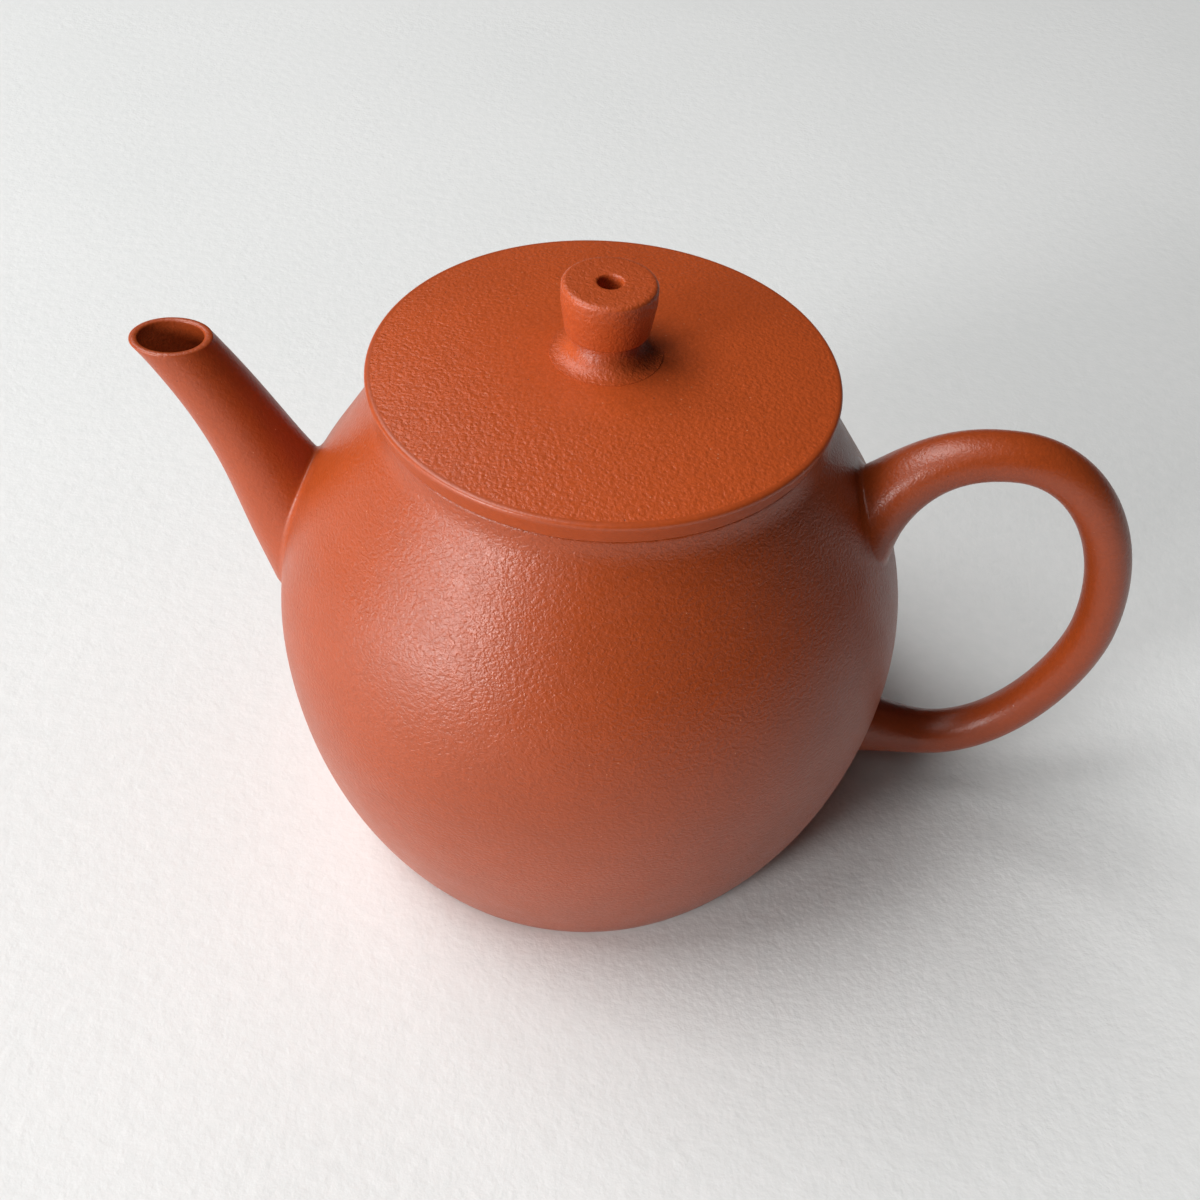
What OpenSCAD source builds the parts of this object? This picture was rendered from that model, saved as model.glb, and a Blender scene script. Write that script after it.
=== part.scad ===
// A small yixing clay teapot, hand built from luted pieces, with a lift-off lid.
// Frame: +Z up, the handle points along +X and the spout along -X, and the
// origin is the centre of the flat foot. Lengths are in millimetres.

/* [Body] */
// Widest outer diameter of the body
body_d = 70; // [68:0.5:72]
// Outer diameter of the flat foot
foot_d = 56.4; // [54:0.2:58]
// Height of the widest part above the table
belly_h = 27.5; // [26.5:0.5:28.5]
// Height of the rim that the lid rests on
rim_h = 57.5; // [57:0.1:58]
// Radius of the arc from the belly up to the shoulder
shoulder_arc_r = 32.6; // [32:0.1:33.2]
// Slope of the shoulder, in degrees from upright
shoulder_slope = 33; // [32:0.5:34]
// Thickness of the clay wall
wall = 2.4; // [2:0.1:2.8]
// Thickness of the bottom slab
base_t = 3; // [2.4:0.1:3.6]

/* [Neck] */
// Outer diameter of the neck under the lid
neck_d = 45.6; // [45:0.1:46]
// Diameter of the mouth that the lid's flange drops into
mouth_d = 39.6; // [39:0.1:40]
// Radius of the hollow curve between shoulder and neck
neck_fillet = 5; // [4:0.2:5.2]

/* [Lid] */
// Outer diameter of the lid at its top edge
lid_d = 47; // [46.4:0.1:47.6]
// Height of the lid's side
lid_edge_h = 2.5; // [2.2:0.1:2.8]
// Rise of the lid's domed top above its edge
lid_rise = 1.6; // [1.2:0.1:2]
// Thickness of the lid plate
lid_t = 3; // [2.6:0.1:3.4]
// Gap between the flange and the mouth, on each side
lid_gap = 0.35; // [0.25:0.05:0.5]
// Depth of the flange below the lid plate
flange_h = 5.5; // [4:0.5:7]
// Thickness of the flange
flange_t = 2; // [1.6:0.1:2.4]

/* [Knob] */
// Diameter of the knob's drum at its widest
knob_d = 9.3; // [9:0.1:9.8]
// Height of the knob above the lid's dome
knob_h = 7.8; // [7.4:0.1:8.4]
// Diameter of the steam vent through knob and lid
vent_d = 2.4; // [2:0.1:2.8]

/* [Spout] */
// Outer radius of the spout at its mouth
spout_tip_r = 3.4; // [3.3:0.05:3.6]
// Outer radius that the spout would have at the body without its flare
spout_root_r = 5.45; // [5.3:0.05:5.6]
// Wall of the spout at its thin lip
spout_lip_t = 0.7; // [0.6:0.05:0.9]
// Wall of the spout at the body
spout_wall_t = 1.6; // [1.4:0.1:1.8]

/* [Handle] */
// Radius of the handle's round section where it leaves the shoulder
handle_top_r = 3.05; // [2.9:0.05:3.2]
// Radius at the outermost point
handle_out_r = 2.4; // [2.3:0.05:2.55]
// Radius where it returns to the body
handle_low_r = 3.4; // [3.2:0.05:3.5]

/* [Strainer] */
// Outer radius of the ball strainer behind the spout
strainer_r = 6.6; // [6.4:0.1:7]
// Thickness of the strainer
strainer_t = 1.2; // [1:0.1:1.4]
// Diameter of each hole in the strainer
strainer_hole_d = 1.5; // [1.2:0.1:1.6]
// Angle between the strainer's rows of holes, in degrees
strainer_row_step = 28; // [26:1:30]

/* [Hidden] */
clay = [0.62, 0.30, 0.21];
clay_light = [0.68, 0.36, 0.26];
clay_dark = [0.52, 0.24, 0.17];

body_r = body_d / 2;
foot_r = foot_d / 2;
neck_r = neck_d / 2;
mouth_r = mouth_d / 2;
lid_r = lid_d / 2;
// The lower arc passes through the foot's edge and is upright at the belly.
belly_bulge = body_r - foot_r;
lower_arc_r = (belly_h * belly_h + belly_bulge * belly_bulge) / (2 * belly_bulge);
// Where the upper arc ends and the straight shoulder begins.
shoulder_z = belly_h + shoulder_arc_r * sin(shoulder_slope);
shoulder_r = body_r - shoulder_arc_r * (1 - cos(shoulder_slope));
// Where the straight shoulder ends and the neck's hollow curve begins.
neck_corner_z = shoulder_z + (shoulder_r - neck_r) / tan(shoulder_slope);
fillet_reach = neck_fillet * tan(shoulder_slope / 2);
neck_z = neck_corner_z - fillet_reach * cos(shoulder_slope);
neck_root_r = neck_r + fillet_reach * sin(shoulder_slope);
rim_round = 0.25;
fillet_centre_z = neck_corner_z + fillet_reach;
fillet_top_z = min(fillet_centre_z, rim_h - rim_round);
fillet_top_r = neck_r + neck_fillet - sqrt(pow(neck_fillet, 2) - pow(fillet_centre_z - fillet_top_z, 2));
foot_chamfer = 0.4;
// A cutting shape runs this far past what it cuts.
overrun = 1;
cavity_top = neck_z + overrun;

lid_z = rim_h + lid_edge_h;
lid_overhang = 0.15;
lid_under_r = neck_r + lid_overhang;
lid_edge_round = 0.45;
dome_rim_r = lid_r - lid_edge_round;
dome_r = (dome_rim_r * dome_rim_r + lid_rise * lid_rise) / (2 * lid_rise);
dome_centre_z = lid_z + lid_rise - dome_r;
// The dome is a small cap of a very large circle, so it needs many sides.
dome_sides = 720;
flange_r = mouth_r - lid_gap;
flange_in_r = flange_r - flange_t;
flange_chamfer = 0.5;

knob_r = knob_d / 2;
knob_top_z = lid_z + lid_rise + knob_h;
// The knob is a flared foot, a narrow waist and a drum that widens upwards.
knob_foot_z = lid_z + lid_rise;
knob_foot_r = 5.2;
knob_waist_r = 3.2;
knob_waist_z = knob_foot_z + 2.3;
knob_cove_r = knob_foot_r - knob_waist_r;
drum_low_z = knob_foot_z + 2.6;
drum_low_r = knob_r - 0.5;
drum_low_round = 0.5;
drum_wide_z = knob_top_z - 1.8;
drum_top_round = 0.6;
vent_r = vent_d / 2;
vent_chamfer = 0.3;

// The spout's centre line, as distances outwards from the axis and heights.
spout_path = [[30, 32.7], [36.4, 38.6], [35.5, 45.1], [44.6, 57.5]];
// The tube is drawn past its mouth, which is then cut level with the rim.
spout_overrun = 2;
// The tube swells where it meets the body, less to the sides, and the swelling dies away over this reach.
spout_flare = 3.8;
spout_side_flare = 3.1;
spout_flare_reach = 5.2;
// The spout's opening in the body wall, square to the wall.
spout_hole_r = 4.4;
spout_hole_tilt = 17;
spout_hole_z = 36.8;
// How many holes each row of the strainer has, from its tip outwards.
strainer_row_holes = [1, 6, 10];
spout_hole_u = body_r - shoulder_arc_r + sqrt(pow(shoulder_arc_r, 2) - pow(spout_hole_z - belly_h, 2));

// The handle's centre line: shoulder to top, top to outermost, outermost to lowest, and back in.
handle_root = [27.4, 42.5];
handle_top = [42, 54.5];
handle_out = [56.5, 32];
handle_low = [41.2, 10.6];
handle_end = [31, 11.9];
handle_paths = [
    [handle_root, [31.4, 51.3], [35.5, handle_top[1]], handle_top],
    [handle_top, [50.2, handle_top[1]], [handle_out[0], 43.8], handle_out],
    [handle_out, [handle_out[0], 24.5], [51.2, handle_low[1]], handle_low],
    [handle_low, [37.8, handle_low[1]], [34, 11], handle_end]
];
// The handle swells at its shoulder end and its lower end: how much in its own plane,
// how much to the sides, and the reach over which the swelling dies away.
handle_flare = [2.1, 2.5];
handle_side_flare = [6.8, 1.2];
handle_flare_reach = [4.25, 4];

ring_sides = 24;
$fn = 96;

// A point at parameter t on the cubic curve with control points p.
function curve(p, t) =
    pow(1 - t, 3) * p[0] + 3 * pow(1 - t, 2) * t * p[1] + 3 * (1 - t) * t * t * p[2] + pow(t, 3) * p[3];

// The direction of that curve at parameter t, of length 1.
function heading(p, t) =
    let (d = pow(1 - t, 2) * (p[1] - p[0]) + 2 * (1 - t) * t * (p[2] - p[1]) + t * t * (p[3] - p[2]))
    d / norm(d);

// One ring across a curve in the XZ plane: a is its half-height in that plane, b its half-width.
function ring(c, dir, a, b) =
    [for (k = [0:ring_sides - 1])
        let (q = 360 * k / ring_sides)
        [c[0] - dir[1] * a * cos(q), b * sin(q), c[1] + dir[0] * a * cos(q)]];

// The side faces between the rings numbered from first to last.
function skin(first, last, flip) =
    [for (i = [first:last - 1], k = [0:ring_sides - 1])
        let (m = (k + 1) % ring_sides, lo = i * ring_sides, hi = lo + ring_sides)
        flip ? [lo + m, lo + k, hi + k, hi + m] : [lo + k, lo + m, hi + m, hi + k]];

// The faces that close a tube between an outer and an inner ring.
function collar(outer, inner, flip) =
    [for (k = [0:ring_sides - 1])
        let (m = (k + 1) % ring_sides, o = outer * ring_sides, n = inner * ring_sides)
        flip ? [o + k, n + k, n + m, o + m] : [o + m, n + m, n + k, o + k]];

// A flat cap over one ring.
function cap(number, flip) =
    [[for (k = [0:ring_sides - 1]) number * ring_sides + (flip ? ring_sides - 1 - k : k)]];

// The body's outline, drawn inwards by the depth t and up to the height top.
module body_outline(t, top) {
    cone_r = shoulder_r - t * cos(shoulder_slope);
    cone_z = shoulder_z - t * sin(shoulder_slope);
    intersection() {
        translate([body_r - lower_arc_r, belly_h]) circle(r = lower_arc_r - t);
        square([body_d, belly_h]);
    }
    intersection() {
        translate([body_r - shoulder_arc_r, belly_h]) circle(r = shoulder_arc_r - t);
        translate([0, belly_h]) square([body_d, cone_z - belly_h]);
    }
    polygon([
        [0, cone_z],
        [cone_r, cone_z],
        [cone_r - (top - cone_z) * tan(shoulder_slope), top],
        [0, top]
    ]);
}

// The whole shell of the body between two heights, as a half section.
module shell_section(low, high) {
    intersection() {
        difference() {
            body_outline(0, neck_z);
            body_outline(wall, cavity_top);
        }
        translate([0, low]) square([body_d, high - low]);
    }
}

// The solid that the body's outer surface encloses.
module body_solid() {
    rotate_extrude() body_outline(0, neck_z);
}

module body_wall() {
    color(clay)
    difference() {
        rotate_extrude() shell_section(base_t, shoulder_z);
        translate([-spout_hole_u, 0, spout_hole_z])
            rotate([0, -90 + spout_hole_tilt, 0])
                cylinder(r = spout_hole_r, h = 2 * wall + 2 * strainer_r, center = true);
    }
}

module base_disc() {
    color(clay_dark)
    rotate_extrude() intersection() {
        body_outline(0, neck_z);
        polygon([
            [0, 0],
            [foot_r - foot_chamfer, 0],
            [foot_r + foot_chamfer, 2 * foot_chamfer],
            [body_r, base_t],
            [0, base_t]
        ]);
    }
}

module shoulder_disc() {
    color(clay_light) rotate_extrude() shell_section(shoulder_z, neck_z);
}

module neck_ring() {
    color(clay_dark)
    rotate_extrude() difference() {
        polygon([
            [mouth_r, neck_z],
            [neck_root_r, neck_z],
            [neck_root_r, fillet_top_z],
            [fillet_top_r, fillet_top_z],
            [fillet_top_r - rim_round, rim_h],
            [mouth_r + rim_round, rim_h],
            [mouth_r, rim_h - rim_round]
        ]);
        translate([neck_r + neck_fillet, fillet_centre_z]) circle(r = neck_fillet);
    }
}

module spout() {
    steps = 22;
    tip = spout_path[3];
    tip_dir = heading(spout_path, 1);
    centres = concat([for (i = [0:steps]) curve(spout_path, i / steps)], [tip + spout_overrun * tip_dir]);
    dirs = concat([for (i = [0:steps]) heading(spout_path, i / steps)], [tip_dir]);
    last = steps + 1;
    along = [for (i = [0:last]) min(i / steps, 1)];
    swell = [for (c = centres) exp(-norm(c - spout_path[0]) / spout_flare_reach)];
    outer_r = [for (a = along) spout_root_r + (spout_tip_r - spout_root_r) * a];
    wall_t = [for (a = along) spout_wall_t + (spout_lip_t - spout_wall_t) * a];
    points = [for (depth = [0, 1], i = [0:last])
        let (r = outer_r[i] - depth * wall_t[i])
        each ring(centres[i], dirs[i], r + spout_flare * swell[i], r + spout_side_flare * swell[i])];
    faces = concat(
        skin(0, last, false),
        skin(last + 1, 2 * last + 1, true),
        collar(0, last + 1, false),
        collar(last, 2 * last + 1, true));
    color(clay)
    difference() {
        mirror([1, 0, 0]) polyhedron(points = points, faces = faces);
        body_solid();
        translate([-2 * body_d, -body_d / 2, rim_h]) cube([2 * body_d, body_d, body_d]);
    }
}

module strainer() {
    inner_u = spout_hole_u - wall * cos(spout_hole_tilt);
    inner_z = spout_hole_z - wall * sin(spout_hole_tilt);
    color(clay_light)
    intersection() {
        translate([-inner_u, 0, inner_z])
        rotate([0, 90 + spout_hole_tilt, 0])
        difference() {
            sphere(r = strainer_r);
            sphere(r = strainer_r - strainer_t);
            for (row = [0:len(strainer_row_holes) - 1], k = [0:strainer_row_holes[row] - 1])
                rotate([0, row * strainer_row_step, 360 * k / strainer_row_holes[row]])
                    translate([0, 0, strainer_r / 2]) cylinder(d = strainer_hole_d, h = strainer_r);
        }
        rotate_extrude() body_outline(wall, cavity_top);
    }
}

module handle() {
    steps = 13;
    last_path = len(handle_paths) - 1;
    stations = concat(
        [for (s = [0:last_path], i = [0:steps - 1]) [handle_paths[s], i / steps]],
        [[handle_paths[last_path], 1]]);
    last = len(stations) - 1;
    mid_r = 2 * handle_out_r - (handle_top_r + handle_low_r) / 2;
    points = [for (i = [0:last])
        let (
            f = i / last,
            c = curve(stations[i][0], stations[i][1]),
            r = handle_top_r * pow(1 - f, 2) + 2 * mid_r * f * (1 - f) + handle_low_r * f * f,
            swell = [exp(-norm(c - handle_root) / handle_flare_reach[0]),
                     exp(-norm(c - handle_end) / handle_flare_reach[1])]
        )
        each ring(c, heading(stations[i][0], stations[i][1]), r + handle_flare * swell,
                  r + handle_side_flare * swell)];
    color(clay)
    difference() {
        polyhedron(points = points, faces = concat(skin(0, last, false), cap(0, true), cap(last, false)));
        body_solid();
    }
}

module lid_plate() {
    color(clay_light)
    rotate_extrude() difference() {
        intersection() {
            translate([0, dome_centre_z]) circle(r = dome_r, $fn = dome_sides);
            polygon([
                [vent_r, rim_h],
                [lid_under_r - rim_round, rim_h],
                [lid_under_r, rim_h + rim_round],
                [lid_r, lid_z - lid_edge_round],
                [dome_rim_r, lid_z],
                [dome_rim_r, lid_z + 2 * lid_rise],
                [vent_r, lid_z + 2 * lid_rise]
            ]);
        }
        intersection() {
            translate([0, dome_centre_z]) circle(r = dome_r - lid_t, $fn = dome_sides);
            square([flange_in_r, lid_z]);
        }
    }
}

module lid_flange() {
    color(clay_dark)
    rotate_extrude() polygon([
        [flange_in_r, rim_h - flange_h + flange_chamfer],
        [flange_in_r + flange_chamfer, rim_h - flange_h],
        [flange_r - flange_chamfer, rim_h - flange_h],
        [flange_r, rim_h - flange_h + flange_chamfer],
        [flange_r, rim_h],
        [flange_in_r, rim_h]
    ]);
}

module knob() {
    color(clay)
    rotate_extrude() difference() {
        union() {
            polygon([
                [0, knob_foot_z - overrun],
                [knob_foot_r, knob_foot_z - overrun],
                [knob_foot_r, knob_waist_z - knob_cove_r],
                [knob_waist_r, knob_waist_z],
                [knob_waist_r, drum_low_z],
                [drum_low_r - drum_low_round, drum_low_z],
                [drum_low_r, drum_low_z + drum_low_round],
                [knob_r, drum_wide_z],
                [knob_r, knob_top_z - drum_top_round],
                [knob_r - drum_top_round, knob_top_z - drum_top_round],
                [knob_r - drum_top_round, knob_top_z],
                [0, knob_top_z]
            ]);
            translate([knob_r - drum_top_round, knob_top_z - drum_top_round]) circle(r = drum_top_round);
        }
        translate([knob_foot_r, knob_waist_z]) circle(r = knob_cove_r);
        translate([0, dome_centre_z]) circle(r = dome_r, $fn = dome_sides);
        polygon([
            [0, knob_foot_z - overrun],
            [vent_r, knob_foot_z - overrun],
            [vent_r, knob_top_z - vent_chamfer],
            [vent_r + 2 * vent_chamfer, knob_top_z + vent_chamfer],
            [0, knob_top_z + vent_chamfer]
        ]);
    }
}

body_wall();
base_disc();
shoulder_disc();
neck_ring();
spout();
strainer();
handle();
lid_plate();
lid_flange();
knob();
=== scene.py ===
"""A small yixing clay teapot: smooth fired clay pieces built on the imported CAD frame."""
import math

import bmesh
import bpy
import numpy as np
from mathutils import Matrix, Vector


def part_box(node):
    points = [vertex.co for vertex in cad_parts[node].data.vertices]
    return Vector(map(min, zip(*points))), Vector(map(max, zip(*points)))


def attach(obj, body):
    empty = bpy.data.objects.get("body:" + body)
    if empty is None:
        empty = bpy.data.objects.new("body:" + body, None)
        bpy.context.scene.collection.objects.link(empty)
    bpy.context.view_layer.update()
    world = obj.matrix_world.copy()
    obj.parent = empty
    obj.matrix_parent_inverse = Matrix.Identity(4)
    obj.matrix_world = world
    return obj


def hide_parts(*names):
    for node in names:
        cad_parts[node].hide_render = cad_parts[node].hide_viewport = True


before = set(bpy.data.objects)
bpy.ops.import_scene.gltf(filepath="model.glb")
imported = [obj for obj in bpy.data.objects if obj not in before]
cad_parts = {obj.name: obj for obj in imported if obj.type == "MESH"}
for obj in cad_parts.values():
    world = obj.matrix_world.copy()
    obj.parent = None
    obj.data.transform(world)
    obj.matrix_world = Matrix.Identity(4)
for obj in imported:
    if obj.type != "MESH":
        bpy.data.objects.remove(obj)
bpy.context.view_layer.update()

# ---------------------------------------------------------------- sizes, from the frame

MM = 0.001

base_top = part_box("base_disc")[1]
wall_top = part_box("body_wall")[1]
shoulder_low, shoulder_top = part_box("shoulder_disc")
neck_low, neck_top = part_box("neck_ring")
flange_low, flange_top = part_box("lid_flange")
plate_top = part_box("lid_plate")[1]
knob_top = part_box("knob")[1]

BODY_R = wall_top.x
BASE_T = base_top.z
BASE_R = base_top.x
SHOULDER_Z = shoulder_low.z
SHOULDER_R = shoulder_top.x
NECK_Z = neck_low.z
NECK_ROOT_R = neck_top.x
RIM_Z = neck_top.z
LID_R = plate_top.x
FLANGE_R = flange_top.x
FLANGE_LOW_Z = flange_low.z
KNOB_FOOT_R = knob_top.x
KNOB_TOP_Z = knob_top.z

# What the boxes don't tell: the same design values as the CAD part has.
BELLY_Z = 27.5 * MM
WALL = 2.4 * MM
NECK_FILLET = 5 * MM
MOUTH_GAP = 0.35 * MM
LID_EDGE_H = 2.5 * MM
LID_RISE = 1.6 * MM
LID_T = 3 * MM
LID_OVERHANG = 0.15 * MM
FLANGE_T = 2 * MM
VENT_R = 1.2 * MM
WAIST_R = 3.2 * MM
WAIST_Z = 2.3 * MM
DRUM_LOW_Z = 2.6 * MM
DRUM_LOW_R = 4.15 * MM
DRUM_R = 4.65 * MM
DRUM_WIDE_BELOW_TOP = 1.8 * MM
SPOUT_LIP_T = 0.7 * MM
SPOUT_WALL_T = 1.6 * MM
SPOUT_HOLE_R = 4.4 * MM
SPOUT_HOLE_Z = 36.8 * MM
SPOUT_HOLE_TILT = math.radians(17)

MOUTH_R = FLANGE_R + MOUTH_GAP
FLANGE_IN_R = FLANGE_R - FLANGE_T
LID_Z = RIM_Z + LID_EDGE_H
LID_TOP_Z = LID_Z + LID_RISE


def arc_radius(inset, height):
    """Radius of an arc that starts upright and has come inwards by inset at this height."""
    return (height * height + inset * inset) / (2 * inset)


LOWER_ARC = arc_radius(BODY_R - BASE_R, BELLY_Z - BASE_T)
UPPER_ARC = arc_radius(BODY_R - SHOULDER_R, SHOULDER_Z - BELLY_Z)
SHOULDER_RUN = (SHOULDER_R - NECK_ROOT_R) / (NECK_Z - SHOULDER_Z)
SHOULDER_TILT = math.atan(SHOULDER_RUN)
NECK_R = NECK_ROOT_R - NECK_FILLET * (1 - math.cos(SHOULDER_TILT))


def body_radius(z, depth=0.0):
    """Radius of the body at the heights z, measured this deep below its outer surface."""
    z = np.asarray(z, float)
    rise = (z - BELLY_Z) ** 2
    lower = BODY_R - LOWER_ARC + np.sqrt(np.maximum((LOWER_ARC - depth) ** 2 - rise, 0))
    upper = BODY_R - UPPER_ARC + np.sqrt(np.maximum((UPPER_ARC - depth) ** 2 - rise, 0))
    straight = SHOULDER_R - (z - SHOULDER_Z) * SHOULDER_RUN - depth / math.cos(SHOULDER_TILT)
    straight_from = SHOULDER_Z - depth * math.sin(SHOULDER_TILT)
    return np.where(z < BELLY_Z, lower, np.where(z < straight_from, upper, straight))


def body_slope(z):
    """How fast the body's radius changes with height."""
    step = 0.01 * MM
    return (body_radius(z + step) - body_radius(z - step)) / (2 * step)


def unit(vectors):
    """The vectors scaled to length one."""
    return vectors / np.linalg.norm(vectors, axis=1)[:, None]


def body_normal(points):
    """Unit directions that point straight out of the body at these points on it."""
    radius = np.hypot(points[:, 0], points[:, 1])
    slope = body_slope(points[:, 2])
    return unit(np.c_[points[:, 0] / radius, points[:, 1] / radius, -slope])


def clearance(points):
    """Distance of each point from the body's outer surface."""
    radius = np.hypot(points[:, 0], points[:, 1])
    slope = body_slope(points[:, 2])
    return (radius - body_radius(points[:, 2])) / np.sqrt(1 + slope * slope)


def altitude(points):
    """Height of each point above the table."""
    return points[:, 2]


def onto_body(points, height=0.0):
    """The points moved square to the body's surface until they are at this height above it."""
    for _ in range(4):
        points = points - (clearance(points) - height)[:, None] * body_normal(points)
    return points


# ---------------------------------------------------------------- outlines

SAME_POINT = 1e-4 * MM


def graded(low, high, step):
    """Values from low to high, closer together at both ends so that the seams shade smoothly."""
    crowding = 0.85
    count = max(4, round(abs(high - low) / step))
    t = np.linspace(0, 1, count + 1)
    t = t - crowding * np.sin(2 * np.pi * t) / (2 * np.pi)
    return low + (high - low) * t


def bend(start, corner, end, count=6):
    """A rounded corner: a curve from start to end that leaves and arrives along the corner's sides."""
    t = np.linspace(0, 1, count + 1)[:, None]
    start, corner, end = np.array(start), np.array(corner), np.array(end)
    return (1 - t) ** 2 * start + 2 * t * (1 - t) * corner + t * t * end


def line(start, end, step=0.8 * MM):
    """Evenly spaced points from start to end."""
    start, end = np.array(start), np.array(end)
    count = max(1, round(np.linalg.norm(end - start) / step))
    t = np.linspace(0, 1, count + 1)[:, None]
    return start + (end - start) * t


def joined(*parts):
    """The parts one after the other without repeated points, and the number of each point's part."""
    points = np.concatenate(parts)
    numbers = np.repeat(np.arange(len(parts)), [len(part) for part in parts])
    keep = np.linalg.norm(np.roll(points, -1, axis=0) - points, axis=1) > SAME_POINT
    return points[keep], numbers[keep]


# ---------------------------------------------------------------- meshes

SIDES = 240
HOLE_SIDES = 96
CREASE = math.radians(38)


def finish_piece(mesh, body, node):
    """Makes the mesh a smooth-shaded piece that rides on a body and stands for this CAD node."""
    build = bmesh.new()
    build.from_mesh(mesh)
    bmesh.ops.recalc_face_normals(build, faces=build.faces)
    build.to_mesh(mesh)
    build.free()
    mesh.shade_smooth()
    mesh.set_sharp_from_angle(angle=CREASE)
    piece = bpy.data.objects.new(mesh.name, mesh)
    bpy.context.scene.collection.objects.link(piece)
    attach(piece, body)
    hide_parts(node)


def grid_mesh(name, rows, closed, materials, slots):
    """A mesh from rows of points round the piece. slots numbers each row's material.

    A row of one point is a tip. closed joins the last row to the first.
    """
    starts = np.cumsum([0] + [len(row) for row in rows])
    faces = []
    face_slots = []
    for a in range(len(rows) if closed else len(rows) - 1):
        b = (a + 1) % len(rows)
        sides = max(len(rows[a]), len(rows[b]))
        for k in range(sides):
            after = (k + 1) % sides
            corners = [starts[a] + k, starts[a] + after, starts[b] + after, starts[b] + k]
            if len(rows[a]) == 1:
                corners = [starts[a], starts[b] + after, starts[b] + k]
            if len(rows[b]) == 1:
                corners = [starts[a] + k, starts[a] + after, starts[b]]
            faces.append([int(corner) for corner in corners])
            face_slots.append(int(slots[a]))
    mesh = bpy.data.meshes.new(name)
    mesh.from_pydata(np.concatenate(rows).tolist(), [], faces)
    for material in materials:
        mesh.materials.append(material)
    mesh.polygons.foreach_set("material_index", face_slots)
    return mesh


def revolved(name, outline, materials, slots, closed=True):
    """A mesh of an outline of (radius, height) points turned about the body's axis."""
    angles = np.linspace(0, 2 * np.pi, SIDES, endpoint=False)
    rows = []
    for radius, height in outline:
        if radius < SAME_POINT:
            rows.append(np.array([[0.0, 0.0, height]]))
        else:
            heights = np.full(SIDES, height)
            rows.append(np.c_[radius * np.cos(angles), radius * np.sin(angles), heights])
    return grid_mesh(name, rows, closed, materials, slots)


def drilled(mesh, centre, direction, radius, length):
    """The mesh with a round hole through it."""
    cutter_mesh = bpy.data.meshes.new("cutter")
    build = bmesh.new()
    bmesh.ops.create_cone(build, cap_ends=True, segments=HOLE_SIDES, radius1=radius, radius2=radius,
                          depth=length)
    build.to_mesh(cutter_mesh)
    build.free()
    cutter = bpy.data.objects.new("cutter", cutter_mesh)
    turn = direction.to_track_quat("Z", "Y").to_matrix().to_4x4()
    cutter.matrix_world = Matrix.Translation(centre) @ turn
    target = bpy.data.objects.new("target", mesh)
    for item in (cutter, target):
        bpy.context.scene.collection.objects.link(item)
    modifier = target.modifiers.new("hole", "BOOLEAN")
    modifier.object = cutter
    modifier.operation = "DIFFERENCE"
    modifier.solver = "EXACT"
    bpy.context.view_layer.update()
    evaluated = target.evaluated_get(bpy.context.evaluated_depsgraph_get())
    result = bpy.data.meshes.new_from_object(evaluated)
    for item in (cutter, target):
        bpy.data.objects.remove(item)
    result.name = mesh.name
    return result


# ---------------------------------------------------------------- body

def skin(low, high, depth=0.0, step=0.6 * MM):
    """The body's outline between two heights, this deep below its outer surface."""
    heights = graded(low, high, step)
    return np.c_[body_radius(heights, depth), heights]


def base_disc(outside, inside):
    """The flat bottom, with a softened edge where it meets the table."""
    edge = 0.55 * MM
    ring_step = 2.5 * MM
    foot_r = float(body_radius(0.0))
    flat_r = foot_r - 1.2 * edge
    outline, part = joined(
        line((0, 0), (flat_r, 0), ring_step),
        bend((flat_r, 0), (foot_r, 0), (float(body_radius(edge)), edge)),
        skin(edge, BASE_T, step=0.4 * MM),
        line((BASE_R, BASE_T), (0, BASE_T), ring_step))
    slots = np.array([0, 0, 0, 1])[part]
    finish_piece(revolved("clay_base", outline, [outside, inside], slots, closed=False), "pot", "base_disc")


def body_wall(outside, inside):
    """The belly, with the round hole behind the spout cut through it."""
    outline, part = joined(skin(BASE_T, SHOULDER_Z), skin(SHOULDER_Z, BASE_T, WALL))
    mesh = revolved("clay_wall", outline, [outside, inside], part)
    centre = Vector((-float(body_radius(SPOUT_HOLE_Z)), 0, SPOUT_HOLE_Z))
    direction = Vector((-math.cos(SPOUT_HOLE_TILT), 0, math.sin(SPOUT_HOLE_TILT)))
    through = 6 * WALL
    finish_piece(drilled(mesh, centre, direction, SPOUT_HOLE_R, through), "pot", "body_wall")


def shoulder_disc(outside, inside):
    """The sloping shoulder between belly and neck."""
    outline, part = joined(skin(SHOULDER_Z, NECK_Z), skin(NECK_Z, SHOULDER_Z, WALL))
    finish_piece(revolved("clay_shoulder", outline, [outside, inside], part), "pot", "shoulder_disc")


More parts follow.
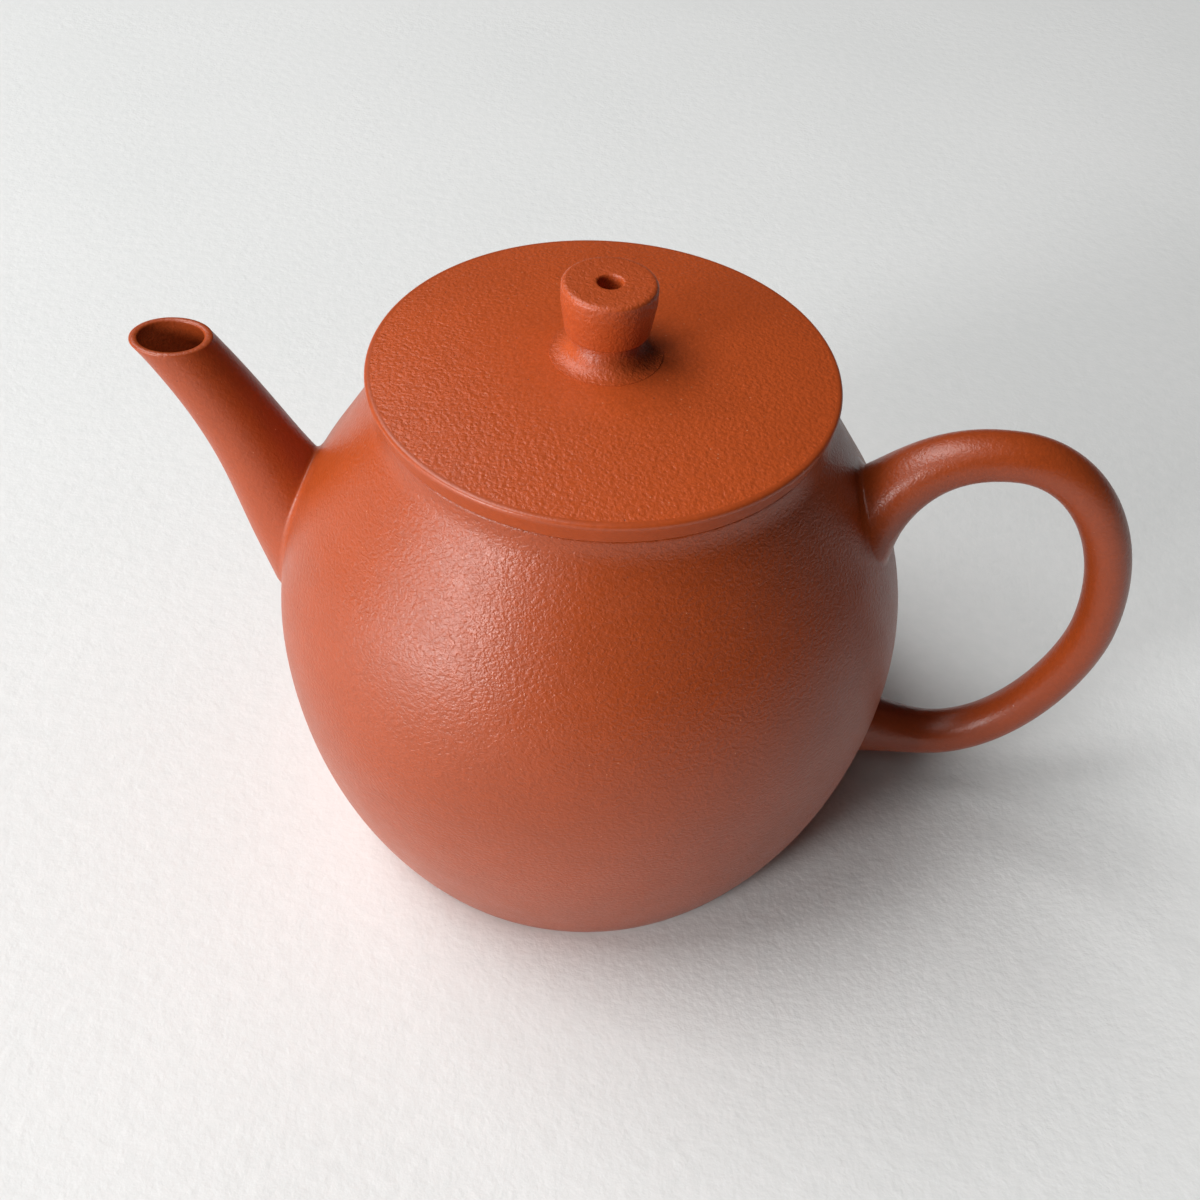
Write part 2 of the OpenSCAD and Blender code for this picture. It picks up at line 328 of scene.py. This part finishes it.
def neck_ring(outside, inside):
    """The ring round the mouth: a hollow curve up from the shoulder, and the rim that the lid rests on."""
    edge = 0.35 * MM
    inner_edge = 0.45 * MM
    centre_z = NECK_Z + NECK_FILLET * math.sin(SHOULDER_TILT)
    end_turn = math.asin((centre_z - RIM_Z + edge) / NECK_FILLET)
    turns = np.linspace(SHOULDER_TILT, end_turn, 16)
    hollow = np.c_[NECK_R + NECK_FILLET * (1 - np.cos(turns)), centre_z - NECK_FILLET * np.sin(turns)]
    outline, part = joined(
        hollow,
        bend(hollow[-1], (NECK_R, RIM_Z), (NECK_R - edge, RIM_Z), 4),
        line((NECK_R - edge, RIM_Z), (MOUTH_R + inner_edge, RIM_Z)),
        bend((MOUTH_R + inner_edge, RIM_Z), (MOUTH_R, RIM_Z), (MOUTH_R, RIM_Z - inner_edge)),
        line((MOUTH_R, RIM_Z - inner_edge), (MOUTH_R, NECK_Z), 0.5 * MM),
        line((MOUTH_R, NECK_Z), (NECK_ROOT_R, NECK_Z)))
    slots = np.array([0, 0, 0, 0, 1, 1])[part]
    finish_piece(revolved("clay_neck", outline, [outside, inside], slots), "pot", "neck_ring")


# ---------------------------------------------------------------- spout and handle

TUBE_SIDES = 96
ROOT_LIFT = 0.6 * MM
HALVINGS = 40
SKIRT_STEPS = 10
TUCK_RUN = 0.25 * MM
TUCK_DEPTH = 0.04 * MM


def curve_point(p, t):
    """Points at the parameters t of the cubic curve with the four control points p."""
    t = np.asarray(t, float)[..., None]
    return (1 - t) ** 3 * p[0] + 3 * (1 - t) ** 2 * t * p[1] + 3 * (1 - t) * t * t * p[2] + t ** 3 * p[3]


def curve_heading(p, t):
    """Unit directions of that curve at the parameters t."""
    t = np.asarray(t, float)[..., None]
    d = (1 - t) ** 2 * (p[1] - p[0]) + 2 * (1 - t) * t * (p[2] - p[1]) + t * t * (p[3] - p[2])
    return d / np.linalg.norm(d, axis=-1, keepdims=True)


def across(centre, heading, turn, half_height, half_width):
    """Points round a curve in the XZ plane, at the angles turn from its upper side."""
    x = centre[..., 0] - heading[..., 1] * half_height * np.cos(turn)
    z = centre[..., 1] + heading[..., 0] * half_height * np.cos(turn)
    return np.stack([x, half_width * np.sin(turn), z], axis=-1)


def crossing(surface, turn, span, measure, level):
    """For each angle, the parameter within the span at which the measure rises above the level."""
    low, high = (np.full(len(turn), end) for end in span)
    for _ in range(HALVINGS):
        middle = (low + high) / 2
        passed = measure(surface(middle, turn)) > level
        high = np.where(passed, middle, high)
        low = np.where(passed, low, middle)
    return high


def skirt(rim, beside, reach):
    """Rows from a tube's rim down to the body and out along it, ending just under its surface.

    beside is the tube's next ring, so the rows leave the rim in line with the tube.
    """
    inward = unit(rim - beside)
    outward = rim - rim.mean(axis=0)
    foot = onto_body(rim)
    normal = body_normal(foot)
    spread = unit(outward - np.sum(outward * normal, axis=1)[:, None] * normal)
    target = onto_body(foot + spread * reach)
    normal = body_normal(target)
    arrive = unit(spread - np.sum(spread * normal, axis=1)[:, None] * normal)
    fullness = 1.2
    size = fullness * np.linalg.norm(target - rim, axis=1)[:, None]
    rows = []
    for t in np.linspace(0, 1, SKIRT_STEPS + 1)[1:]:
        row = (2 * t ** 3 - 3 * t ** 2 + 1) * rim + (t ** 3 - 2 * t ** 2 + t) * size * inward
        row = row + (3 * t ** 2 - 2 * t ** 3) * target + (t ** 3 - t ** 2) * size * arrive
        rows.append(row)
    rows.append(onto_body(target + arrive * TUCK_RUN, -TUCK_DEPTH))
    return rows


SPOUT_PATH = np.array([(30, 32.7), (36.4, 38.6), (35.5, 45.1), (44.6, 57.5)]) * MM
SPOUT_ROOT_R = 5.45 * MM
SPOUT_TIP_R = 3.4 * MM
SPOUT_FLARE = 3.8 * MM
SPOUT_SIDE_FLARE = 3.1 * MM
SPOUT_FLARE_REACH = 5.2 * MM
SPOUT_SKIRT = 1.3 * MM
SPOUT_RINGS = 72
BORE_ROOT_DEPTH = 0.3 * MM
BORE_RINGS = 60
LIP_RINGS = 7

# Where along the curve the ends are looked for: 0 is the curve's first point and 1 its last.
SPOUT_ROOT_SPAN = (0.05, 0.8)
BORE_ROOT_SPAN = (0.02, 0.8)
SPOUT_TIP_SPAN = (0.6, 1.4)
HANDLE_ROOT_SPAN = (0.002, 0.4)


def spout_surface(t, turn, lip=0.0, root=0.0):
    """Points of the spout at parameters t and angles turn, under its outer surface by lip to root."""
    inside_curve = np.minimum(t, 1)
    heading = curve_heading(SPOUT_PATH, inside_curve)
    past_tip = (t - inside_curve) * 3 * np.linalg.norm(SPOUT_PATH[3] - SPOUT_PATH[2])
    centre = curve_point(SPOUT_PATH, inside_curve) + heading * past_tip[..., None]
    swell = np.exp(-np.linalg.norm(centre - SPOUT_PATH[0], axis=-1) / SPOUT_FLARE_REACH)
    radius = SPOUT_ROOT_R - root + (SPOUT_TIP_R - lip - SPOUT_ROOT_R + root) * inside_curve
    half_height = radius + SPOUT_FLARE * swell
    half_width = radius + SPOUT_SIDE_FLARE * swell
    return across(centre, heading, turn, half_height, half_width) * np.array([-1, 1, 1])


def spout_bore(t, turn):
    """Points of the spout's inner surface."""
    return spout_surface(t, turn, SPOUT_LIP_T, SPOUT_WALL_T)


def spout(outside, inside):
    """The hollow spout: skirt on the body, curved tube, thin lip level with the rim, and the bore."""
    turn = np.linspace(0, 2 * np.pi, TUBE_SIDES, endpoint=False)
    lip_drop = 0.35 * SPOUT_LIP_T
    lip_z = RIM_Z - lip_drop
    start = crossing(spout_surface, turn, SPOUT_ROOT_SPAN, clearance, ROOT_LIFT)
    end = crossing(spout_surface, turn, SPOUT_TIP_SPAN, altitude, lip_z)
    bore_start = crossing(spout_bore, turn, BORE_ROOT_SPAN, clearance, -BORE_ROOT_DEPTH)
    bore_end = crossing(spout_bore, turn, SPOUT_TIP_SPAN, altitude, lip_z)
    tube = [spout_surface(start + (end - start) * s, turn) for s in np.linspace(0, 1, SPOUT_RINGS)]
    bore = [spout_bore(bore_end + (bore_start - bore_end) * s, turn) for s in np.linspace(0, 1, BORE_RINGS)]
    lip = []
    for s in np.linspace(0, np.pi, LIP_RINGS + 2)[1:-1]:
        row = (tube[-1] + bore[0]) / 2 + (tube[-1] - bore[0]) / 2 * np.cos(s)
        row[:, 2] += lip_drop * np.sin(s) ** 0.8
        lip.append(row)
    root = skirt(tube[0], tube[1], SPOUT_SKIRT)
    rows = root[::-1] + tube + lip + bore
    bore_rings_like_lip = 6
    slots = np.arange(len(rows)) >= len(rows) - len(bore) + bore_rings_like_lip
    finish_piece(grid_mesh("clay_spout", rows, True, [outside, inside], slots), "pot", "spout")


HANDLE_PATHS = np.array([
    [(27.4, 42.5), (31.4, 51.3), (35.5, 54.5), (42, 54.5)],
    [(42, 54.5), (50.2, 54.5), (56.5, 43.8), (56.5, 32)],
    [(56.5, 32), (56.5, 24.5), (51.2, 10.6), (41.2, 10.6)],
    [(41.2, 10.6), (37.8, 10.6), (34, 11), (31, 11.9)]]) * MM
HANDLE_TOP_R = 3.05 * MM
HANDLE_OUT_R = 2.4 * MM
HANDLE_LOW_R = 3.4 * MM
HANDLE_FLARE = np.array([2.1, 2.5]) * MM
HANDLE_SIDE_FLARE = np.array([6.8, 1.2]) * MM
HANDLE_FLARE_REACH = np.array([4.25, 4]) * MM
HANDLE_SKIRT = 1.1 * MM
HANDLE_RINGS = 190


def handle_surface(t, turn):
    """Points of the handle at parameters t, 0 at the shoulder and 1 at the lower end, and angles turn."""
    part = np.clip((t * len(HANDLE_PATHS)).astype(int), 0, len(HANDLE_PATHS) - 1)
    along = t * len(HANDLE_PATHS) - part
    control = np.moveaxis(HANDLE_PATHS[part], -2, 0)
    centre = curve_point(control, along)
    from_ends = np.stack([
        np.linalg.norm(centre - HANDLE_PATHS[0][0], axis=-1),
        np.linalg.norm(centre - HANDLE_PATHS[-1][3], axis=-1)], axis=-1)
    swell = np.exp(-from_ends / HANDLE_FLARE_REACH)
    middle = 2 * HANDLE_OUT_R - (HANDLE_TOP_R + HANDLE_LOW_R) / 2
    radius = HANDLE_TOP_R * (1 - t) ** 2 + 2 * middle * t * (1 - t) + HANDLE_LOW_R * t * t
    half_height = radius + swell @ HANDLE_FLARE
    half_width = radius + swell @ HANDLE_SIDE_FLARE
    return across(centre, curve_heading(control, along), turn, half_height, half_width)


def handle_from_below(t, turn):
    """The handle's points with the parameter running from its lower end."""
    return handle_surface(1 - t, turn)


def handle(outside):
    """The round loop handle, with a skirt on the body at each end."""
    turn = np.linspace(0, 2 * np.pi, TUBE_SIDES, endpoint=False)
    start = crossing(handle_surface, turn, HANDLE_ROOT_SPAN, clearance, ROOT_LIFT)
    end = crossing(handle_from_below, turn, HANDLE_ROOT_SPAN, clearance, ROOT_LIFT)
    tube = [handle_surface(start + (1 - end - start) * s, turn) for s in np.linspace(0, 1, HANDLE_RINGS)]
    ends = []
    for rim, beside in ((tube[0], tube[1]), (tube[-1], tube[-2])):
        rows = skirt(rim, beside, HANDLE_SKIRT)
        rows.append(onto_body(rows[-1].mean(axis=0)[None, :], -WALL / 2))
        ends.append(rows)
    rows = ends[0][::-1] + tube + ends[1]
    finish_piece(grid_mesh("clay_handle", rows, False, [outside], np.zeros(len(rows))), "pot", "handle")


# ---------------------------------------------------------------- lid

LID_EDGE = 0.45 * MM
DOME_R = arc_radius(LID_RISE, LID_R - LID_EDGE)


def dome_height(radius, depth=0.0):
    """Height of the lid's domed top at this distance from the axis, measured this deep below it."""
    return LID_TOP_Z - DOME_R + np.sqrt((DOME_R - depth) ** 2 - np.asarray(radius, float) ** 2)


def dome(from_r, to_r, depth=0.0):
    """The dome's outline between two distances from the axis."""
    radii = graded(from_r, to_r, 0.7 * MM)
    return np.c_[radii, dome_height(radii, depth)]


def lid_plate(top, side, inside):
    """The lid's plate: domed top, softly rounded edge, tapered side, and a shallow hollow underneath."""
    edge = 0.3 * MM
    dome_end = LID_R - 1.3 * LID_EDGE
    under_r = NECK_R + LID_OVERHANG
    side_top = (LID_R, LID_Z - LID_EDGE)
    side_low = (under_r, RIM_Z + edge)
    outline, part = joined(
        dome(VENT_R, dome_end),
        bend((dome_end, float(dome_height(dome_end))), (LID_R, LID_Z), side_top, 8),
        line(side_top, side_low, 0.3 * MM),
        bend(side_low, (under_r, RIM_Z), (under_r - edge, RIM_Z), 4),
        line((under_r - edge, RIM_Z), (FLANGE_IN_R, RIM_Z)),
        dome(FLANGE_IN_R, VENT_R, LID_T),
        line((VENT_R, float(dome_height(VENT_R, LID_T))), (VENT_R, float(dome_height(VENT_R))), 0.5 * MM))
    slots = np.array([0, 1, 1, 1, 2, 2, 1])[part]
    finish_piece(revolved("clay_lid_plate", outline, [top, side, inside], slots), "lid", "lid_plate")


def lid_flange(inside):
    """The ring under the lid that drops into the mouth."""
    edge = 0.5 * MM
    low = FLANGE_LOW_Z
    outline, part = joined(
        line((FLANGE_R, RIM_Z), (FLANGE_R, low + edge), 0.5 * MM),
        bend((FLANGE_R, low + edge), (FLANGE_R, low), (FLANGE_R - edge, low)),
        bend((FLANGE_IN_R + edge, low), (FLANGE_IN_R, low), (FLANGE_IN_R, low + edge)),
        line((FLANGE_IN_R, low + edge), (FLANGE_IN_R, RIM_Z), 0.5 * MM))
    finish_piece(revolved("clay_lid_flange", outline, [inside], 0 * part), "lid", "lid_flange")


def knob(clay_skin):
    """The knob: flared foot, waist, drum that widens upwards, and the steam vent down its middle."""
    waist_z = LID_TOP_Z + WAIST_Z
    drum_z = LID_TOP_Z + DRUM_LOW_Z
    spread_r = KNOB_FOOT_R + 0.4 * MM
    cove = spread_r - WAIST_R
    fall = waist_z - float(dome_height(spread_r)) - 0.05 * MM
    crook = 0.1 * MM
    low_edge = 0.3 * MM
    top_edge = 0.6 * MM
    vent_edge = 0.3 * MM
    wide_z = KNOB_TOP_Z - DRUM_WIDE_BELOW_TOP
    taper = (DRUM_R - DRUM_LOW_R) / (wide_z - drum_z)
    low_end = (DRUM_LOW_R + taper * low_edge, drum_z + low_edge)
    turns = np.linspace(0, np.pi / 2, 13)
    hollow = np.c_[spread_r - cove * np.sin(turns), waist_z - fall * np.cos(turns)]
    outline, part = joined(
        [(spread_r, float(dome_height(spread_r)))],
        hollow,
        bend((WAIST_R, drum_z - crook), (WAIST_R, drum_z), (WAIST_R + crook, drum_z), 3),
        bend((DRUM_LOW_R - low_edge, drum_z), (DRUM_LOW_R, drum_z), low_end),
        line(low_end, (DRUM_R, wide_z), 0.3 * MM),
        bend((DRUM_R, KNOB_TOP_Z - top_edge), (DRUM_R, KNOB_TOP_Z), (DRUM_R - top_edge, KNOB_TOP_Z), 7),
        line((DRUM_R - top_edge, KNOB_TOP_Z), (VENT_R + vent_edge, KNOB_TOP_Z), 0.4 * MM),
        bend((VENT_R + vent_edge, KNOB_TOP_Z), (VENT_R, KNOB_TOP_Z), (VENT_R, KNOB_TOP_Z - vent_edge), 5),
        line((VENT_R, KNOB_TOP_Z - vent_edge), (VENT_R, float(dome_height(VENT_R))), 0.5 * MM),
        dome(VENT_R, spread_r))
    finish_piece(revolved("clay_knob", outline, [clay_skin], 0 * part), "lid", "knob")


# ---------------------------------------------------------------- materials

class Recipe:
    """A material under construction: small calls that add nodes and hand back the result's socket."""

    def __init__(self, name, stretch=(1, 1, 1)):
        self.material = bpy.data.materials.new(name)
        self.material.use_nodes = True
        self.tree = self.material.node_tree
        self.shader = self.tree.nodes["Principled BSDF"]
        place = self.add("ShaderNodeTexCoord").outputs["Object"]
        per_mm = [part / MM for part in stretch]
        self.place = self.add("ShaderNodeMapping", {"Vector": place, "Scale": per_mm}).outputs[0]

    def add(self, kind, sockets=None, **settings):
        """Adds a node, sets it up, sets or links its input sockets, and returns it."""
        node = self.tree.nodes.new(kind)
        for key, value in settings.items():
            setattr(node, key, value)
        for key, value in (sockets or {}).items():
            self.put(node.inputs[key], value)
        return node

    def put(self, socket, value):
        """Links the socket when the value is an output, else stores the value in it."""
        if isinstance(value, bpy.types.NodeSocket):
            self.tree.links.new(value, socket)
        else:
            socket.default_value = value

    def off_axis(self):
        """Distance from the pot's axis in mm."""
        level = self.add("ShaderNodeVectorMath", {0: self.place, 1: (1, 1, 0)}, operation="MULTIPLY")
        length = self.add("ShaderNodeVectorMath", {0: level.outputs[0]}, operation="LENGTH")
        return length.outputs["Value"]

    def noise(self, size, detail=2.0, rough=0.5, twist=0.0):
        """Cloudy noise from 0 to 1 whose features are about this many mm across."""
        sockets = {"Vector": self.place, "Scale": 1 / size, "Detail": detail, "Roughness": rough}
        sockets["Distortion"] = twist
        return self.add("ShaderNodeTexNoise", sockets).outputs[0]

    def cells(self, size):
        """Rounded cells about this many mm across: 0 in the middle of each."""
        sockets = {"Vector": self.place, "Scale": 1 / size, "Smoothness": 0.6}
        return self.add("ShaderNodeTexVoronoi", sockets, feature="SMOOTH_F1").outputs["Distance"]

    def ramp(self, value, low, high, to_low=0.0, to_high=1.0):
        """The value eased from to_low at low to to_high at high, and held outside them."""
        sockets = {"Value": value, "From Min": low, "From Max": high, "To Min": to_low, "To Max": to_high}
        return self.add("ShaderNodeMapRange", sockets, interpolation_type="SMOOTHSTEP").outputs[0]

    def arithmetic(self, operation, *values):
        """The result of one operation on the values."""
        node = self.add("ShaderNodeMath", operation=operation)
        for socket, value in zip(node.inputs, values):
            self.put(socket, value)
        return node.outputs[0]

    def sum(self, value, factor, other):
        """value times factor plus other."""
        return self.arithmetic("MULTIPLY_ADD", value, factor, other)

    def product(self, value, other):
        """One value times the other."""
        return self.arithmetic("MULTIPLY", value, other)

    def specks(self, size, radius, share):
        """Small round dots: a grid of this size in mm, dots of this radius, in this share of its cells."""
        cell = self.add("ShaderNodeTexVoronoi", {"Vector": self.place, "Scale": 1 / size})
        pick = self.add("ShaderNodeSeparateColor", {"Color": cell.outputs["Color"]}).outputs[0]
        edge = radius / size
        dot = self.ramp(cell.outputs["Distance"], edge, 0.4 * edge)
        return self.product(dot, self.ramp(pick, 1 - share, 1 - 0.7 * share))

    def mix(self, factor, first, second):
        """A colour between two colours. Inputs 6 and 7 and output 2 are the node's colour sockets."""
        node = self.add("ShaderNodeMix", data_type="RGBA")
        self.put(node.inputs[0], factor)
        self.put(node.inputs[6], first)
        self.put(node.inputs[7], second)
        return node.outputs[2]

    def bump(self, height, depth, under=None):
        """A relief of this depth in mm, on top of the relief under it."""
        sockets = {"Height": height, "Distance": depth * MM, "Strength": 1.0}
        if under is not None:
            sockets["Normal"] = under
        return self.add("ShaderNodeBump", sockets).outputs[0]


def shade(colour, factor):
    """The colour made lighter or darker, as four numbers for a colour socket."""
    return (*(part * factor for part in colour), 1)


CLAY = (0.375, 0.0595, 0.0105)
PALE_GRAIN = (0.78, 0.36, 0.2, 1)
DARK_GRAIN = (0.07, 0.016, 0.01, 1)
PIT_DEPTH = 0.012
PIT_ROUGHNESS = 0.3
PIT_DARKNESS = 0.6


def coloured(recipe, tone, dark, light, grains, grain_paleness, pits):
    """Gives the clay a colour that follows the tone from dark to light, with pale grains and dark pits."""
    colour = recipe.mix(recipe.ramp(tone, 0.25, 0.75), shade(CLAY, dark), shade(CLAY, light))
    colour = recipe.mix(recipe.product(grains, grain_paleness), colour, PALE_GRAIN)
    colour = recipe.mix(recipe.product(pits, PIT_DARKNESS), colour, DARK_GRAIN)
    recipe.put(recipe.shader.inputs["Base Color"], colour)


def clay(name, wrinkle, grain, roughness, stretch=(1, 1, 1.3), specks=1.0, painted_lightness=1.0):
    """Fired clay. wrinkle and grain are the depths in mm of its soft wrinkles and of its fine grain.

    stretch packs the texture closer along an axis, specks scales how many pale grains and pits there
    are, and tint makes the whole piece lighter or darker: painted light above 1, painted shade below 1.
    """
    recipe = Recipe(name, stretch)
    tone = recipe.sum(recipe.noise(17, 1), 0.3, recipe.product(recipe.noise(2.6, 3), 0.2))
    wrinkles_and_shade = recipe.noise(0.42, 2, 0.5, 0.4)
    # The wrinkles' relief also steers the colour: painted shade in their hollows, painted light on their
    # crests.
    tone = recipe.sum(wrinkles_and_shade, 0.5, tone)
    grains = recipe.specks(0.9, 0.085, 0.2 * specks)
    pits = recipe.specks(1.3, 0.11, 0.16 * specks)
    coloured(recipe, tone, 0.88 * painted_lightness, 1.12 * painted_lightness, grains, 0.55, pits)
    gloss = recipe.sum(recipe.noise(4, 3), 0.16, roughness - 0.11)
    gloss = recipe.sum(recipe.noise(0.5, 2), 0.12, gloss)
    recipe.put(recipe.shader.inputs["Roughness"], recipe.sum(pits, PIT_ROUGHNESS, gloss))
    relief = recipe.bump(wrinkles_and_shade, wrinkle)
    relief = recipe.bump(recipe.noise(0.2, 1, 0.5), grain, relief)
    relief = recipe.bump(pits, -PIT_DEPTH, relief)
    recipe.put(recipe.shader.inputs["Normal"], relief)
    return recipe.material


def lid_clay(name, grain, roughness):
    """The lid's top: a pebbled grain like orange peel, brushed smoother round the knob. Its colour is
    painted lighter than the body's, as light from above, with painted shade in the pebbles' hollows.
    """
    recipe = Recipe(name)
    tone = recipe.sum(recipe.noise(14, 1), 0.2, recipe.product(recipe.noise(2, 3), 0.15))
    pebbles_and_shade = recipe.noise(0.3, 2, 0.55)
    # The pebbles' relief also steers the colour: painted shade in their hollows, painted light on their
    # tops.
    tone = recipe.sum(pebbles_and_shade, 0.65, tone)
    grains = recipe.specks(0.8, 0.09, 0.25)
    pits = recipe.specks(1.1, 0.12, 0.2)
    # Painted light: the lid's clay is made lighter than the body's, as the light that falls on the top of
    # the pot.
    coloured(recipe, tone, 1.04, 1.42, grains, 0.6, pits)
    gloss = recipe.sum(recipe.noise(0.6, 2), 0.2, roughness - 0.1)
    recipe.put(recipe.shader.inputs["Roughness"], recipe.sum(pits, PIT_ROUGHNESS, gloss))
    smooth_to, rough_from, smoothest = 6, 15, 0.4
    rough_share = recipe.ramp(recipe.off_axis(), smooth_to, rough_from, smoothest, 1)
    relief = recipe.bump(recipe.product(recipe.cells(0.5), rough_share), -0.6 * grain)
    relief = recipe.bump(recipe.product(pebbles_and_shade, rough_share), grain, relief)
    relief = recipe.bump(pits, -PIT_DEPTH, relief)
    recipe.put(recipe.shader.inputs["Normal"], relief)
    return recipe.material


def inner_clay(name, roughness):
    """Clay on the inside: matte, with the faint level lines of the scraper that smoothed it."""
    level_streaks = (0.12, 0.12, 1)
    recipe = Recipe(name, level_streaks)
    lines = recipe.noise(0.9, 3, 0.6)
    tone = recipe.sum(recipe.noise(4, 3), 0.6, recipe.product(lines, 0.4))
    colour = recipe.mix(recipe.ramp(tone, 0.3, 0.7), shade(CLAY, 0.78), shade(CLAY, 1.05))
    recipe.put(recipe.shader.inputs["Base Color"], colour)
    recipe.put(recipe.shader.inputs["Roughness"], recipe.sum(lines, 0.15, roughness - 0.07))
    recipe.put(recipe.shader.inputs["Normal"], recipe.bump(lines, 0.05))
    return recipe.material


def paper(name):
    """The pale table top: matte, with a slight soft tooth."""
    recipe = Recipe(name)
    dark, light = (0.775, 0.785, 0.775, 1), (0.815, 0.82, 0.81, 1)
    tone = recipe.sum(recipe.noise(60, 2), 0.5, recipe.product(recipe.noise(2.2, 3), 0.5))
    colour = recipe.mix(recipe.ramp(tone, 0.3, 0.7), dark, light)
    recipe.put(recipe.shader.inputs["Base Color"], colour)
    recipe.shader.inputs["Roughness"].default_value = 0.85
    relief = recipe.bump(recipe.noise(1.8, 3, 0.55), 0.08)
    recipe.put(recipe.shader.inputs["Normal"], recipe.bump(recipe.noise(0.6, 2), 0.03, relief))
    return recipe.material


def carried_over(node, material):
    """Gives a CAD node that stays in view this material."""
    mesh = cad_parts[node].data
    mesh.materials.clear()
    mesh.materials.append(material)


# ---------------------------------------------------------------- stage

def bearing(azimuth, elevation):
    """Unit direction away from the pot, in degrees: azimuth 0 is the handle's side and -90 the front."""
    a, e = math.radians(azimuth), math.radians(elevation)
    return Vector((math.cos(a) * math.cos(e), math.sin(a) * math.cos(e), math.sin(e)))


def area_light(name, azimuth, elevation, distance, size, power):
    """A soft white lamp that looks at the pot. Its size is in metres and its power in watts."""
    away = bearing(azimuth, elevation)
    data = bpy.data.lights.new(name, "AREA")
    data.shape = "RECTANGLE"
    data.size, data.size_y = size
    data.energy = power
    lamp = bpy.data.objects.new(name, data)
    lamp.location = Vector((0, 0, BELLY_Z)) + away * distance
    lamp.rotation_mode = "QUATERNION"
    lamp.rotation_quaternion = away.to_track_quat("Z", "Y")
    bpy.context.scene.collection.objects.link(lamp)


def camera():
    """The photographer's view: close, from above the front of the pot, and tilted by a few degrees."""
    back = bearing(-86, 45.87)
    roll = math.radians(4.12)
    distance = 152 * MM
    target = Vector((1.17, 0.08, 26.7)) * MM
    data = bpy.data.cameras.new("camera")
    data.lens = 39.0
    data.sensor_width = 36.0
    data.clip_start = 0.01
    data.clip_end = 10
    eye = bpy.data.objects.new("camera", data)
    eye.location = target + back * distance
    eye.rotation_mode = "QUATERNION"
    turn = (-back).to_track_quat("-Z", "Y").to_matrix() @ Matrix.Rotation(roll, 3, "Z")
    eye.rotation_quaternion = turn.to_quaternion()
    bpy.context.scene.collection.objects.link(eye)
    bpy.context.scene.camera = eye


def floor(material):
    """The flat table top, a square that is far wider than the camera's view."""
    mesh = bpy.data.meshes.new("floor")
    half = 1.5
    corners = [(-half, -half, 0), (half, -half, 0), (half, half, 0), (-half, half, 0)]
    mesh.from_pydata(corners, [], [(0, 1, 2, 3)])
    mesh.materials.append(material)
    ground = bpy.data.objects.new("floor", mesh)
    bpy.context.scene.collection.objects.link(ground)


def room_light(strength):
    """The even light that comes from the whole room."""
    world = bpy.data.worlds.new("room")
    world.use_nodes = True
    background = world.node_tree.nodes["Background"]
    background.inputs["Color"].default_value = (1, 1, 1, 1)
    background.inputs["Strength"].default_value = strength
    bpy.context.scene.world = world


# ---------------------------------------------------------------- build

# Lit and shaded copies of one clay: the knob is painted lighter as lit from above, the lid's edge lighter
# as painted reflection of the window on its rim and side, and the body and the handle darker as painted
# shade.
body_clay = clay("clay_body", wrinkle=0.09, grain=0.03, roughness=0.33, painted_lightness=0.92)
spout_clay = clay("clay_spout", wrinkle=0.05, grain=0.02, roughness=0.36, stretch=(1, 1, 1), specks=0.8)
handle_clay = clay("clay_handle", wrinkle=0.05, grain=0.02, roughness=0.31, stretch=(1, 1, 1), specks=0.6,
                   painted_lightness=0.8)
knob_clay = clay("clay_knob", wrinkle=0.1, grain=0.03, roughness=0.38, stretch=(1, 1, 1), painted_lightness=1.15)
edge_clay = clay("clay_edge", wrinkle=0.015, grain=0.01, roughness=0.33, specks=0.4, painted_lightness=1.05)
top_clay = lid_clay("clay_lid", grain=0.075, roughness=0.37)
inside_clay = inner_clay("clay_inside", roughness=0.72)

base_disc(body_clay, inside_clay)
body_wall(body_clay, inside_clay)
shoulder_disc(body_clay, inside_clay)
neck_ring(body_clay, inside_clay)
spout(spout_clay, inside_clay)
handle(handle_clay)
lid_plate(top_clay, edge_clay, inside_clay)
lid_flange(inside_clay)
knob(knob_clay)
carried_over("strainer", inside_clay)
floor(paper("table_paper"))
camera()
area_light("window", -149, 9, 1.1, (0.5, 0.5), 5.0)
area_light("ceiling", -170, 60, 1.7, (0.9, 0.9), 17.6)
area_light("front_glow", -131, 18, 0.8, (0.18, 0.18), 3.4)
area_light("high_glow", -104, 54, 0.8, (0.15, 0.15), 0.3)
area_light("far_window", 148, 48, 1.7, (0.85, 0.6), 8.6)
room_light(0.02)
bpy.context.scene.view_settings.view_transform = "Standard"
